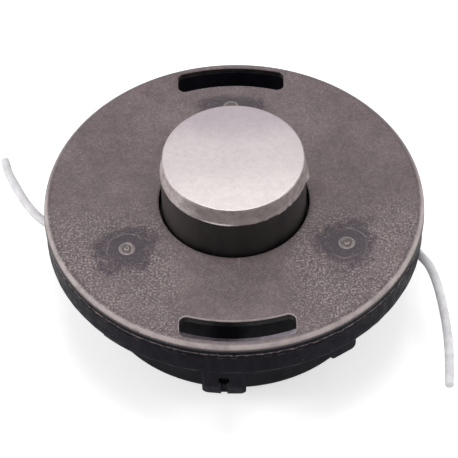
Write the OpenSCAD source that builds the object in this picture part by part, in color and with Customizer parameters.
// Bump-feed line head of a string trimmer, lying with its ground side up.
// The origin is the centre of the hub face that bears on the gearbox, and +Z points to the bump knob.
// Angles are counted from +X towards +Y, so the front of the head is at -90.

/* [Line] */
// Diameter of the nylon cutting line
line_d = 2.4; // [2:0.1:2.7]
// Turns of line side by side in one chamber of the spool
line_turns = 3; // [2:1:4]
// Layers of line on the spool
line_layers = 6; // [5:1:7]

/* [Spool] */
// How far the three flanges stand out beyond the wound line
flange_rim = 3.8; // [3:0.1:4.6]
// Thickness of the top and bottom flange
flange_t = 1.6; // [1.4:0.1:2.2]
// Thickness of the flange between the chambers
mid_flange_t = 1.4; // [1.2:0.1:2]
// Room for the spring between the post and the tube that the line is wound on
spring_room = 5; // [4.6:0.1:5.4]
// Wall of that tube
core_wall = 2.2; // [1.8:0.1:2.4]
// Wall of the tube that slides on the post
guide_wall = 2.2; // [1.8:0.1:2.4]
// Height of the spring shelf above the bottom of the spool
shelf_h = 7; // [6:0.5:9]
// Thickness of the spring shelf
shelf_t = 1.8; // [1.4:0.1:2.4]
// Width of the slits that park the line in the flange edges
park_w = 2.1; // [1.8:0.1:2.6]
// Depth of those slits
park_depth = 5; // [3:0.5:7]

/* [Bump feed] */
// How far the knob and the spool are pushed in
travel = 5; // [4.6:0.1:6]
// Height of the stop lugs between spool and cover
cover_lug_h = 4; // [3.6:0.1:4.4]
// Height of the stop lugs between spool and housing floor
floor_lug_h = 3; // [2.6:0.1:3.6]
// Room between the collar of the cover's hole and the stop lugs
lug_room = 2.4; // [1.6:0.1:3]
// Length of a stop lug outwards
lug_l = 7; // [5:0.5:8.5]
// Length of a stop lug along its circle
lug_w = 5; // [4:0.2:6]
// Angle between two meeting lugs at rest
lug_rest_angle = 0.7; // [0.6:0.1:1.2]
// Axial room that is left over the tip of a lug
lug_gap = 0.3; // [0.2:0.05:0.6]

/* [Spring] */
// Wire diameter of the spring
wire_d = 1.6; // [1.2:0.1:1.8]
// Coils of the spring that carry
spring_coils = 2.5; // [2:0.5:3]
// Thickness of the washer on top of the spring
washer_t = 1; // [0.8:0.1:1.5]

/* [Housing] */
// Height of the hub below the housing floor
hub_h = 8; // [6:0.5:14]
// Radius of the hub
hub_r = 17.5; // [15:0.5:20]
// Thickness of the housing floor
floor_t = 2; // [1.6:0.1:3]
// Wall of the housing at its floor
drum_wall = 2.4; // [1.8:0.1:2.6]
// How much wider the housing is at its mouth
drum_draft = 1; // [0.8:0.1:1.4]
// Running gap around the spool's flanges
drum_gap = 0.8; // [0.6:0.1:1]
// Radius of the post that carries the spool
post_r = 12.4; // [12:0.1:12.8]
// Number of ribs under the housing floor
floor_ribs = 12; // [8:2:16]
// Thickness of those ribs
rib_t = 1.6; // [1.2:0.1:2.4]

/* [Arbor nut] */
// Width of the nut across its flats
nut_af = 17; // [16:0.5:17.5]
// Length of the nut
nut_l = 16; // [12:1:20]
// Radius of the threaded hole at the crest of its thread
thread_r = 4.35; // [4:0.05:5.5]
// Thickness of the hub face under the nut
nut_seat_t = 2; // [1.6:0.2:3]
// Radius of the shaft's way through the hub face
shaft_r = 6.2; // [5.8:0.1:7]

/* [Cover] */
// Radius of the cover's rim
cover_r = 55; // [54.5:0.5:58]
// Thickness of the cover's face
face_t = 2.4; // [2:0.1:3]
// Rounding of the rim
rim_round = 2.3; // [1.8:0.1:2.6]
// Height of the rim above the step in the skirt
rim_h = 3; // [2.8:0.1:5]
// How far the skirt stands back behind the rim
rim_step = 0.4; // [0.2:0.1:0.8]
// Height of the skirt
skirt_h = 12.5; // [9:0.1:13.4]
// Wall of the skirt
skirt_t = 1.9; // [1.6:0.1:2.2]
// Gap between the knob and the hole in the cover
knob_gap = 0.9; // [0.5:0.1:1.2]
// Height of the ring that centres the housing
ring_h = 7.3; // [4:0.1:8]
// Wall of that ring
ring_t = 2; // [1.6:0.1:2.2]
// Width of the two curved slots
slot_w = 7.1; // [5:0.1:7.2]
// Length of the two curved slots, straight from end to end
slot_l = 31.2; // [24:0.1:34]
// Corner radius of the slots
slot_corner = 2; // [1:0.25:2.4]

/* [Latches] */
// Width of a latch tongue
tongue_w = 12.7; // [10:0.1:16]
// Length of a latch tongue below the skirt
tongue_h = 10.2; // [9:0.1:11]
// Height of the round hole in the tongue above its end
keyhole_up = 6.9; // [6:0.1:7.4]
// Radius of that hole
keyhole_r = 1.6; // [1:0.1:2.2]
// Width of the slit below that hole
keyhole_slit = 1.8; // [0.8:0.1:2]
// How far the hook reaches inwards
hook_reach = 1.8; // [1.2:0.1:2.4]
// Thickness of the catch on the housing
catch_t = 2.4; // [1.8:0.1:3]
// Width of the small ears beside the latches
ear_w = 8.8; // [6:0.2:12]
// Length of the small ears below the skirt
ear_h = 3.3; // [3:0.1:6]
// Height of the low pads below the skirt
pad_h = 0.4; // [0.2:0.1:1]

/* [Line exits] */
// Radius of the eyelet's hole
eyelet_r = 1.75; // [1.5:0.05:2.2]
// Wall of the eyelet's sleeve
eyelet_wall = 1.3; // [1:0.1:1.8]
// Radius of the eyelet's collar
collar_r = 4.4; // [4:0.1:5]
// Thickness of the eyelet's collar
collar_t = 1; // [0.8:0.1:1.6]
// Radius of the boss around the eyelet
exit_boss_r = 5.2; // [5:0.1:5.6]

/* [Bump knob] */
// Radius of the knob
knob_r = 20.9; // [20.7:0.1:21.6]
// Wall of the knob
knob_wall = 2.4; // [1.8:0.1:2.8]
// Height of the knob above the cover
knob_rise = 12.6; // [10:0.2:16]
// Depth of the ring that plugs the knob into the spool
plug_h = 6; // [4:0.5:7]
// Height of the metal cap
cap_h = 5.7; // [4.5:0.1:8]
// How far the metal cap stands back from the knob's side
cap_inset = 0.2; // [0:0.05:0.8]
// How far the lip at the foot of the cap stands out
cap_lip = 0.5; // [0.2:0.1:0.8]
// Thickness of the cap's top
cap_t = 2.6; // [1.8:0.1:3.2]
// Radius of the peg in the middle of the cap
peg_r = 4; // [3:0.1:5]
// Length of that peg
peg_h = 9; // [6:0.5:11]

/* [Hidden] */
$fn = 96;

// Clearances
run_gap = 0.06;
seat_gap = 0.05;
fit_gap = 0.25;
free_gap = 0.3;
eps = 0.5;

// Heights, from the hub face upwards
floor_z = hub_h;
floor_in_z = floor_z + floor_t;
chamber_w = line_turns * line_d;
spool_h = 2 * flange_t + mid_flange_t + 2 * chamber_w;
spool_z = floor_in_z + floor_lug_h + lug_gap + travel;
spool_top_z = spool_z + spool_h;
cover_in_z = spool_top_z + cover_lug_h + lug_gap;
cover_top_z = cover_in_z + face_t;
skirt_z = cover_top_z - skirt_h;
knob_top_z = cover_top_z + knob_rise;
cap_top_z = knob_top_z + cap_h;
exit_z = spool_z + spool_h / 2;
shelf_z = spool_z + shelf_h;
washer_z = shelf_z - washer_t - run_gap;
post_top_z = spool_top_z - eps;
tongue_z = skirt_z - tongue_h;
keyhole_z = tongue_z + keyhole_up;
catch_z = tongue_z + 3.8;
knob_hollow_z = knob_top_z - 2.4;
knob_boss_z = knob_top_z - peg_h - 1.6;
spigot_h = cap_h - cap_t - 0.1;
chamber_middles = [spool_z + flange_t + chamber_w / 2, spool_top_z - flange_t - chamber_w / 2];

// Radii, from the axis outwards
bore_r = post_r + run_gap;
guide_r = bore_r + guide_wall;
core_in_r = post_r + spring_room;
core_r = core_in_r + core_wall;
wound_r = core_r + line_layers * line_d;
flange_r = wound_r + flange_rim;
wire_r = wire_d / 2;
spring_r = (post_r + core_in_r) / 2;
washer_in_r = post_r + free_gap;
washer_out_r = core_in_r - free_gap;
hole_r = knob_r + knob_gap;
collar_rim_r = hole_r + 1.8;
lug_in_r = collar_rim_r + lug_room;
lug_out_r = lug_in_r + lug_l;
drum_in_r = flange_r + drum_gap;
drum_r = drum_in_r + drum_wall;
mouth_r = drum_r + drum_draft;
ring_in_r = mouth_r + fit_gap;
ring_r = ring_in_r + ring_t;
skirt_r = cover_r - rim_step;
skirt_in_r = skirt_r - skirt_t;
slot_r = skirt_in_r - 0.1;
slot_in_r = slot_r - slot_w;
tongue_r = skirt_r - 0.2;
tongue_in_r = skirt_in_r - 0.2;
catch_r = tongue_in_r - free_gap;
catch_w = 10;
catch_x = sqrt(pow(catch_r, 2) - pow(catch_w / 2, 2));
brace_t = 1.6;
sleeve_r = eyelet_r + eyelet_wall;
exit_boss_x = mouth_r + 1.6;
nut_corner_r = nut_af / sqrt(3);
nut_core_r = nut_af / 2 - 0.7;
knob_in_r = knob_r - knob_wall;
plug_in_r = guide_r + 0.1;
plug_r = core_in_r - 0.1;
knob_boss_r = peg_r + 3;
cap_r = knob_r - cap_inset;
cap_spigot_r = cap_r - 2.3;
cap_round = 0.8;
burr_r = 1;
gate_ring_r = 2.15;
gate_ring_in_r = 1.55;
gate_nub_r = 0.6;
notch_r = 1.3;
tongue_corner = 1.8;
ear_corner = 1.6;
web_t = 1.4;
web_h = 3.4;

// Places round the head
slot_places = [-90.4, 90.4];
tongue_places = [-94, 86];
ear_places = [-56, 124];
pad_places = [-126.5, 53.5];
pad_angle = 15;
gate_places = [-150, -28, 90];
gate_r = 36.6;
web_places = [for (side = [0, 180], a = [-52.5:15:52.5]) side + a];
burr_place = -22;
exit_places = [180, 0];
lug_count = 4;
lug_pitch = 360 / lug_count;
lug_start = 45;
floor_lug_start = lug_start + lug_pitch / 4;
park_places = [20, 200];
line_end_places = [110, 290];
lead_places = [30, 210];
lead_l = sqrt(pow(flange_r - 0.6, 2) - pow(wound_r, 2));

// Coils of the spring: one closed coil at each end and the open ones between
spring_turns = spring_coils + 2;
spring_steps = 20;
spring_rings = spring_turns * spring_steps + 1;
closed_pitch = wire_d + 0.06;
spring_low_z = floor_in_z + wire_r + seat_gap;
spring_high_z = washer_z - wire_r - seat_gap;
open_pitch = (spring_high_z - spring_low_z - 2 * closed_pitch) / spring_coils;

// Routes of the two line ends outside the eyelets, in the plane of the eyelets
line_sides = 8;
tail_left = [
  [-39.2, 0], [-42, 0], [-44.8, 0.1], [-47.2, 0.7], [-49.6, 2], [-52.4, 4.1], [-56, 7.4],
  [-58.8, 10.6], [-61.6, 15.1], [-64.2, 20.6], [-66.6, 26.3], [-68, 32.2]
];
tail_right = [
  [39.2, 0], [42, 0], [44.8, -0.1], [47.2, -0.8], [49.4, -2.4], [51.5, -5], [53.8, -8.4],
  [56.2, -12.2], [57.6, -16.6], [58.6, -21.4], [59.4, -27], [60, -33], [60.4, -39],
  [60.5, -45], [60.3, -51], [60, -57]
];

// Tube of round section round a list of centres, with the outward and upward direction of each ring given
function ring(c, out, up, r, sides) =
  [for (k = [0:sides - 1]) c + r * (cos(360 * k / sides) * out + sin(360 * k / sides) * up)];
function unit(v) = v / norm(v);
function side_faces(rings, sides) =
  [for (i = [0:rings - 2]) for (k = [0:sides - 1]) for (f = [0:1])
    let (a = i * sides + k, b = i * sides + (k + 1) % sides)
    f == 0 ? [a, b, b + sides] : [a, b + sides, a + sides]];
function end_faces(rings, sides) = [
  [for (k = [sides - 1:-1:0]) k],
  [for (k = [0:sides - 1]) (rings - 1) * sides + k]
];

// Heading of a flat route at its point i
function heading(route, i) =
  unit(route[min(i + 1, len(route) - 1)] - route[max(i - 1, 0)]);

module line_along(route, z) {
  n = len(route);
  points = [for (i = [0:n - 1])
    let (h = heading(route, i))
    each ring([route[i][0], route[i][1], z], [h[1], -h[0], 0], [0, 0, 1], line_d / 2, line_sides)];
  polyhedron(points, concat(side_faces(n, line_sides), end_faces(n, line_sides)));
}

// Block that is a part of a ring, from angle a0 over a degrees
module sector(r_in, r_out, z0, z1, a0, a) {
  rotate([0, 0, a0])
    rotate_extrude(angle = a)
      translate([r_in, z0])
        square([r_out - r_in, z1 - z0]);
}

// Puts its children in the radial plane at an angle, with x outwards
module at_angle(a) {
  rotate([0, 0, a])
    children();
}

// Extrudes a flat outline drawn along the circle and upwards, in the outward direction
module outwards(r_in, r_out) {
  translate([r_in, 0, 0])
    rotate([90, 0, 90])
      linear_extrude(r_out - r_in)
        children();
}

// Tongue outline with round lower corners, hanging down from z_top
module tongue_outline(w, z_low, z_top, corner) {
  translate([-w / 2, z_low + corner])
    square([w, z_top - z_low - corner]);
  translate([-w / 2 + corner, z_low])
    square([w - 2 * corner, corner + 0.1]);
  for (side = [-1, 1])
    translate([side * (w / 2 - corner), z_low + corner])
      circle(corner);
}

// Stop lug with one upright face at angle 0 and a slope behind it
module stop_lug(h, root) {
  outwards(lug_in_r, lug_out_r)
    polygon([[0, -root], [lug_w, -root], [lug_w, 0.8], [lug_w * 0.45, h], [0, h]]);
}

module lug_ring(start, h, root) {
  for (i = [0:lug_count - 1])
    at_angle(start + i * lug_pitch)
      stop_lug(h, root);
}

// The same ring turned upside down, with its upright faces looking the other way
module hanging_lug_ring(start, h, root) {
  for (i = [0:lug_count - 1])
    at_angle(start + i * lug_pitch)
      rotate([180, 0, 0])
        stop_lug(h, root);
}

// Lugs on the floor, which stop the pushed-in spool half a pitch further on
module housing_floor_lugs() {
  for (i = [0:lug_count - 1])
    at_angle(floor_lug_start - lug_pitch / 2 + i * lug_pitch)
      mirror([0, 1, 0])
        stop_lug(floor_lug_h, eps);
}

// Outline of the housing's wall and floor
module drum_outline() {
  polygon([
    [nut_core_r, floor_z], [drum_r - 1, floor_z], [drum_r - 0.3, floor_z + 0.25],
    [drum_r, floor_z + 0.9], [mouth_r, cover_in_z - seat_gap], [drum_in_r, cover_in_z - seat_gap],
    [drum_in_r, floor_in_z + 1.2], [drum_in_r - 1.2, floor_in_z], [nut_core_r, floor_in_z]
  ]);
}

// Outline of the hub and the post above it, without the room for the nut
module hub_outline() {
  polygon([
    [0, 0], [hub_r - 1, 0], [hub_r, 1], [hub_r, floor_z + floor_t / 2], [post_r, floor_z + floor_t / 2],
    [post_r, post_top_z - 0.8], [post_r - 0.8, post_top_z], [0, post_top_z]
  ]);
}

// Rib under the floor, from the hub towards the wall
module floor_rib() {
  rib_out_r = drum_r - 2.4;
  rotate([90, 0, 0])
    translate([0, 0, -rib_t / 2])
      linear_extrude(rib_t)
        polygon([
          [hub_r - 1, floor_z + eps], [hub_r - 1, floor_z * 0.3], [hub_r + 4, floor_z * 0.35],
          [rib_out_r, floor_z - 1.6], [rib_out_r, floor_z + eps]
        ]);
}

// Catch for a latch hook, on two braces
module catch() {
  brace_in_x = drum_r - 0.4;
  brace_x = catch_x - 3;
  translate([brace_in_x, -catch_w / 2, catch_z])
    cube([catch_x - brace_in_x, catch_w, catch_t]);
  for (side = [-1, 1])
    translate([0, side * 3.8 + brace_t / 2, 0])
      rotate([90, 0, 0])
        linear_extrude(brace_t)
          polygon([
            [brace_in_x, catch_z + eps], [brace_x, catch_z + eps],
            [brace_x, catch_z - 0.6], [brace_in_x, catch_z - 5.2]
          ]);
}

module exit_boss() {
  boss_in_x = drum_in_r + 0.6;
  translate([boss_in_x, 0, exit_z])
    rotate([0, 90, 0])
      cylinder(r = exit_boss_r, h = exit_boss_x - boss_in_x);
}

module exit_hole() {
  translate([drum_in_r - 2, 0, exit_z])
    rotate([0, 90, 0])
      cylinder(r = sleeve_r + seat_gap, h = exit_boss_x - drum_in_r + 4);
}

module housing() {
  color([0.13, 0.12, 0.15])
    difference() {
      union() {
        rotate_extrude()
          drum_outline();
        rotate_extrude()
          hub_outline();
        for (i = [0:floor_ribs - 1])
          at_angle((i + 0.5) * 360 / floor_ribs)
            floor_rib();
        for (a = tongue_places)
          at_angle(a)
            catch();
        for (a = exit_places)
          at_angle(a)
            exit_boss();
        translate([0, 0, floor_in_z])
          housing_floor_lugs();
      }
      for (a = exit_places)
        at_angle(a)
          exit_hole();
      translate([0, 0, -1])
        cylinder(r = shaft_r, h = nut_seat_t + 2);
      translate([0, 0, nut_seat_t])
        cylinder(r = nut_corner_r + seat_gap, h = nut_l + seat_gap, $fn = 6);
      translate([0, 0, nut_seat_t + nut_l - 0.5])
        cylinder(r = nut_core_r, h = post_top_z);
    }
}

module arbor_nut() {
  color([0.62, 0.62, 0.64])
    difference() {
      intersection() {
        translate([0, 0, nut_seat_t])
          cylinder(r = nut_corner_r, h = nut_l, $fn = 6);
        translate([0, 0, nut_seat_t])
          rotate_extrude()
            polygon([
              [0, 0], [nut_af / 2 + 0.2, 0], [nut_corner_r + 0.1, 1], [nut_corner_r + 0.1, nut_l - 1],
              [nut_af / 2 + 0.2, nut_l], [0, nut_l]
            ]);
      }
      translate([0, 0, nut_seat_t - 1])
        cylinder(r = thread_r, h = nut_l + 2);
    }
}

// Flanged sleeve with both mouths flared
module eyelet() {
  color([0.72, 0.72, 0.74])
    translate([0, 0, exit_z])
      rotate([0, 90, 0])
        rotate_extrude()
          polygon([
            [eyelet_r, drum_in_r + 1.4], [eyelet_r + 0.8, drum_in_r + 0.4], [sleeve_r, drum_in_r + 0.4],
            [sleeve_r, exit_boss_x], [collar_r, exit_boss_x], [collar_r, exit_boss_x + collar_t - 0.4],
            [collar_r - 0.4, exit_boss_x + collar_t], [eyelet_r + 0.8, exit_boss_x + collar_t],
            [eyelet_r, exit_boss_x + collar_t - 1]
          ]);
}

// Rim, face, skirt, centring ring and collar of the cover
module cover_outline() {
  translate([hole_r, cover_in_z])
    square([cover_r - rim_round - hole_r, face_t]);
  translate([cover_r - rim_round, cover_top_z - rim_round])
    circle(rim_round);
  translate([skirt_in_r, cover_top_z - rim_h])
    square([cover_r - skirt_in_r, rim_h - rim_round]);
  translate([skirt_in_r, skirt_z])
    square([skirt_t, skirt_h - rim_round]);
  translate([ring_in_r, cover_in_z - ring_h])
    square([ring_t, ring_h + face_t / 2]);
  translate([hole_r, cover_in_z - 1.6])
    square([collar_rim_r - hole_r, 1.6 + face_t / 2]);
}

// Curved slot with round corners and straight ends, cut through the face
module curved_slot() {
  z0 = cover_top_z - 2 * rim_round - eps;
  z1 = cover_top_z + 1;
  corner_y = slot_l / 2 - slot_corner;
  in_r = slot_in_r + slot_corner;
  out_r = slot_r - slot_corner;
  in_x = sqrt(pow(in_r, 2) - pow(corner_y, 2));
  out_x = sqrt(pow(out_r, 2) - pow(corner_y, 2));
  in_a = asin(corner_y / in_r);
  out_a = asin(corner_y / out_r);
  mid_r = (slot_r + slot_in_r) / 2;
  sector(slot_in_r, mid_r + 0.01, z0, z1, -in_a, 2 * in_a);
  sector(mid_r, slot_r, z0, z1, -out_a, 2 * out_a);
  for (side = [-1, 1]) {
    translate([in_x, side * (corner_y - slot_corner / 2) - slot_corner * 1.5, z0])
      cube([out_x - in_x, 3 * slot_corner, z1 - z0]);
    for (x = [in_x, out_x])
      translate([x, side * corner_y, z0])
        cylinder(r = slot_corner, h = z1 - z0);
  }
}

// Angle on each side at which a strip on the tongue's circle is wider than w
function strip_angle(w) = asin((w / 2 + 2) / tongue_in_r);

// Latch tongue: a strip of the skirt's curve with a hook inside, cut to its outline
module tongue() {
  hook_r = tongue_in_r - hook_reach;
  hook_z = catch_z - fit_gap;
  half = strip_angle(tongue_w);
  difference() {
    intersection() {
      rotate([0, 0, -half])
        rotate_extrude(angle = 2 * half)
          polygon([
            [tongue_in_r, skirt_z + 2], [tongue_r, skirt_z + 2], [tongue_r, tongue_z + 4],
            [tongue_r - 0.9, tongue_z], [tongue_in_r + 0.2, tongue_z], [hook_r, tongue_z + 1.6],
            [hook_r, hook_z], [tongue_in_r, hook_z]
          ]);
      outwards(tongue_in_r - 5, tongue_r + 2)
        tongue_outline(tongue_w, tongue_z, skirt_z + 2, tongue_corner);
    }
    outwards(tongue_in_r - 0.5, tongue_r + 2) {
      translate([0, keyhole_z])
        circle(keyhole_r);
      translate([-keyhole_slit / 2, tongue_z - 1])
        square([keyhole_slit, keyhole_z - tongue_z + 1]);
    }
  }
}

// Small ear with a round notch at the skirt's edge
module ear() {
  half = strip_angle(ear_w);
  intersection() {
    sector(tongue_in_r, tongue_r, skirt_z - ear_h - 1, skirt_z + 2, -half, 2 * half);
    outwards(tongue_in_r - 2, tongue_r + 2)
      difference() {
        tongue_outline(ear_w, skirt_z - ear_h, skirt_z + 2, ear_corner);
        translate([0, skirt_z - ear_h / 2])
          circle(notch_r);
      }
  }
}

// Mark of the hole through which the cover was filled: a low ring and a torn nub
module gate_mark() {
  translate([gate_r, 0, cover_top_z - 0.2]) {
    difference() {
      cylinder(r = gate_ring_r, h = 0.45);
      translate([0, 0, 0.1])
        cylinder(r = gate_ring_in_r, h = 1);
    }
    cylinder(r = gate_nub_r, h = 0.5);
  }
}

// Web between the centring ring and the skirt
module cover_web() {
  translate([ring_r - eps, -web_t / 2, cover_in_z - web_h])
    cube([skirt_in_r - ring_r + 2 * eps, web_t, web_h + face_t / 2]);
}

module cover() {
  color([0.44, 0.41, 0.4])
    difference() {
      union() {
        rotate_extrude()
          cover_outline();
        for (a = tongue_places)
          at_angle(a)
            tongue();
        for (a = ear_places)
          at_angle(a)
            ear();
        for (a = pad_places)
          sector(tongue_in_r, tongue_r, skirt_z - pad_h, skirt_z + 1, a - pad_angle / 2, pad_angle);
        for (a = gate_places)
          at_angle(a)
            gate_mark();
        for (a = web_places)
          at_angle(a)
            cover_web();
        translate([0, 0, cover_in_z])
          hanging_lug_ring(lug_start - lug_rest_angle, cover_lug_h, face_t / 2);
      }
      for (a = slot_places)
        at_angle(a)
          curved_slot();
      translate([0, 0, cover_top_z - 0.5])
        cylinder(r1 = hole_r, r2 = hole_r + 1, h = 1);
    }
}

// Height of the spring's wire after t turns
function spring_point_z(t) =
  spring_low_z + closed_pitch * min(t, 1) + open_pitch * max(0, min(t - 1, spring_coils))
  + closed_pitch * max(0, t - 1 - spring_coils);

function spring_faces() =
  [for (f = concat(side_faces(spring_rings, line_sides), end_faces(spring_rings, line_sides)))
    [for (k = [len(f) - 1:-1:0]) f[k]]];

module spring() {
  color([0.55, 0.55, 0.57]) {
    points = [for (i = [0:spring_rings - 1])
      let (t = i / spring_steps, out = [cos(360 * t), sin(360 * t), 0])
      each ring(spring_r * out + [0, 0, spring_point_z(t)], out, [0, 0, 1], wire_r, line_sides)];
    polyhedron(points, spring_faces());
  }
}

module spring_washer() {
  color([0.66, 0.66, 0.68])
    difference() {
      translate([0, 0, washer_z])
        cylinder(r = washer_out_r, h = washer_t);
      translate([0, 0, washer_z - 1])
        cylinder(r = washer_in_r, h = washer_t + 2);
    }
}

// Section of the spool: winding tube, guide tube on the post, spring shelf and three flanges
module spool_outline() {
  translate([core_in_r, spool_z])
    square([core_wall, spool_h]);
  translate([bore_r, shelf_z])
    square([guide_wall, spool_top_z - shelf_z]);
  translate([bore_r, shelf_z])
    square([core_in_r - bore_r + core_wall / 2, shelf_t]);
  for (z = [spool_z, spool_top_z - flange_t])
    translate([core_r - core_wall / 2, z])
      square([flange_r - core_r + core_wall / 2, flange_t]);
  translate([core_r - core_wall / 2, spool_z + flange_t + chamber_w])
    square([flange_r - core_r + core_wall / 2, mid_flange_t]);
}

module spool() {
  color([0.17, 0.17, 0.18])
    difference() {
      union() {
        rotate_extrude()
          spool_outline();
        translate([0, 0, spool_top_z])
          lug_ring(lug_start, cover_lug_h, flange_t / 2);
        translate([0, 0, spool_z])
          spool_floor_lugs();
      }
      for (a = park_places)
        at_angle(a)
          translate([flange_r - park_depth, -park_w / 2, spool_z - 1])
            cube([park_depth + 2, park_w, spool_h + 2]);
      for (z = chamber_middles, a = line_end_places)
        at_angle(a)
          translate([guide_r + 0.3, 0, z])
            rotate([0, 90, 0])
              cylinder(r = line_d / 2 + 0.3, h = core_r - guide_r + 1);
    }
}

// Lugs under the spool, with their upright faces on the same side as those on top
module spool_floor_lugs() {
  for (i = [0:lug_count - 1])
    at_angle(floor_lug_start + i * lug_pitch)
      mirror([0, 0, 1])
        stop_lug(floor_lug_h, flange_t / 2);
}

// Line wound in one chamber: an outer layer of round turns on the layers below, and the end that leads off
module winding(z_mid, lead_angle) {
  color([0.9, 0.9, 0.88]) {
    wind_z = z_mid - chamber_w / 2 + free_gap / 2;
    wind_h = chamber_w - free_gap;
    turn_r = wind_h / line_turns / 2;
    rotate_extrude() {
      translate([core_r + seat_gap, wind_z])
        square([wound_r - turn_r - core_r - seat_gap, wind_h]);
      for (i = [0:line_turns - 1])
        translate([wound_r - turn_r, wind_z + turn_r * (2 * i + 1)])
          circle(turn_r);
    }
    at_angle(lead_angle)
      translate([wound_r - turn_r, 0, z_mid])
        rotate([90, 0, 0])
          cylinder(r = turn_r * 0.98, h = lead_l);
  }
}

module line_winding_upper() {
  winding(chamber_middles[1], lead_places[1]);
}

module line_winding_lower() {
  winding(chamber_middles[0], lead_places[0]);
}

// Black body of the knob, plugged into the spool and open below
module bump_knob() {
  socket_z = knob_top_z - peg_h - 0.2;
  recess_z = knob_hollow_z - 0.6;
  recess_w = cap_spigot_r - knob_boss_r - 2;
  color([0.15, 0.14, 0.13])
    rotate_extrude()
      difference() {
        polygon([
          [0, knob_top_z + spigot_h], [cap_spigot_r, knob_top_z + spigot_h],
          [cap_spigot_r, knob_top_z - seat_gap], [knob_r, knob_top_z - seat_gap],
          [knob_r, spool_top_z + seat_gap], [plug_r, spool_top_z + seat_gap],
          [plug_r, spool_top_z - plug_h + 0.6], [plug_r - 0.6, spool_top_z - plug_h],
          [plug_in_r, spool_top_z - plug_h], [plug_in_r, spool_top_z + 1.8],
          [knob_in_r, spool_top_z + 3], [knob_in_r, knob_hollow_z], [knob_boss_r, knob_hollow_z],
          [knob_boss_r, knob_boss_z], [0, knob_boss_z]
        ]);
        translate([-1, socket_z])
          square([peg_r + seat_gap + 1, cap_top_z - socket_z]);
        translate([knob_boss_r, recess_z])
          square([recess_w, knob_top_z - recess_z]);
      }
}

// Cast metal cap with a round edge, a rough lip at its foot and a peg into the knob
module knob_cap() {
  color([0.78, 0.78, 0.79]) {
    rotate_extrude() {
      difference() {
        union() {
          translate([0, knob_top_z])
            square([cap_r, cap_h - cap_round]);
          translate([0, knob_top_z])
            square([cap_r - cap_round, cap_h]);
          translate([cap_r - cap_round, cap_top_z - cap_round])
            circle(cap_round);
          polygon([
            [cap_r - 1, knob_top_z], [cap_r + cap_lip, knob_top_z], [cap_r + cap_lip, knob_top_z + 0.7],
            [cap_r, knob_top_z + 1.8], [cap_r - 1, knob_top_z + 1.8]
          ]);
        }
        translate([-1, knob_top_z - 1])
          square([cap_spigot_r + seat_gap + 1, 1 + spigot_h + seat_gap]);
      }
      translate([0, knob_top_z - peg_h])
        square([peg_r, peg_h + spigot_h + 1]);
    }
    at_angle(burr_place)
      translate([cap_r - 1, 0, knob_top_z + burr_r + 0.1])
        rotate([0, 90, 0])
          cylinder(r = burr_r, h = cap_lip + 1.9);
  }
}

module line_tail_left() {
  color([0.93, 0.93, 0.92])
    line_along(tail_left, exit_z);
}

module line_tail_right() {
  color([0.93, 0.93, 0.92])
    line_along(tail_right, exit_z);
}

housing();
arbor_nut();
at_angle(exit_places[0]) eyelet();  // eyelet_left
at_angle(exit_places[1]) eyelet();  // eyelet_right
cover();
spring();
spring_washer();
spool();
line_winding_upper();
line_winding_lower();
bump_knob();
knob_cap();
line_tail_left();
line_tail_right();
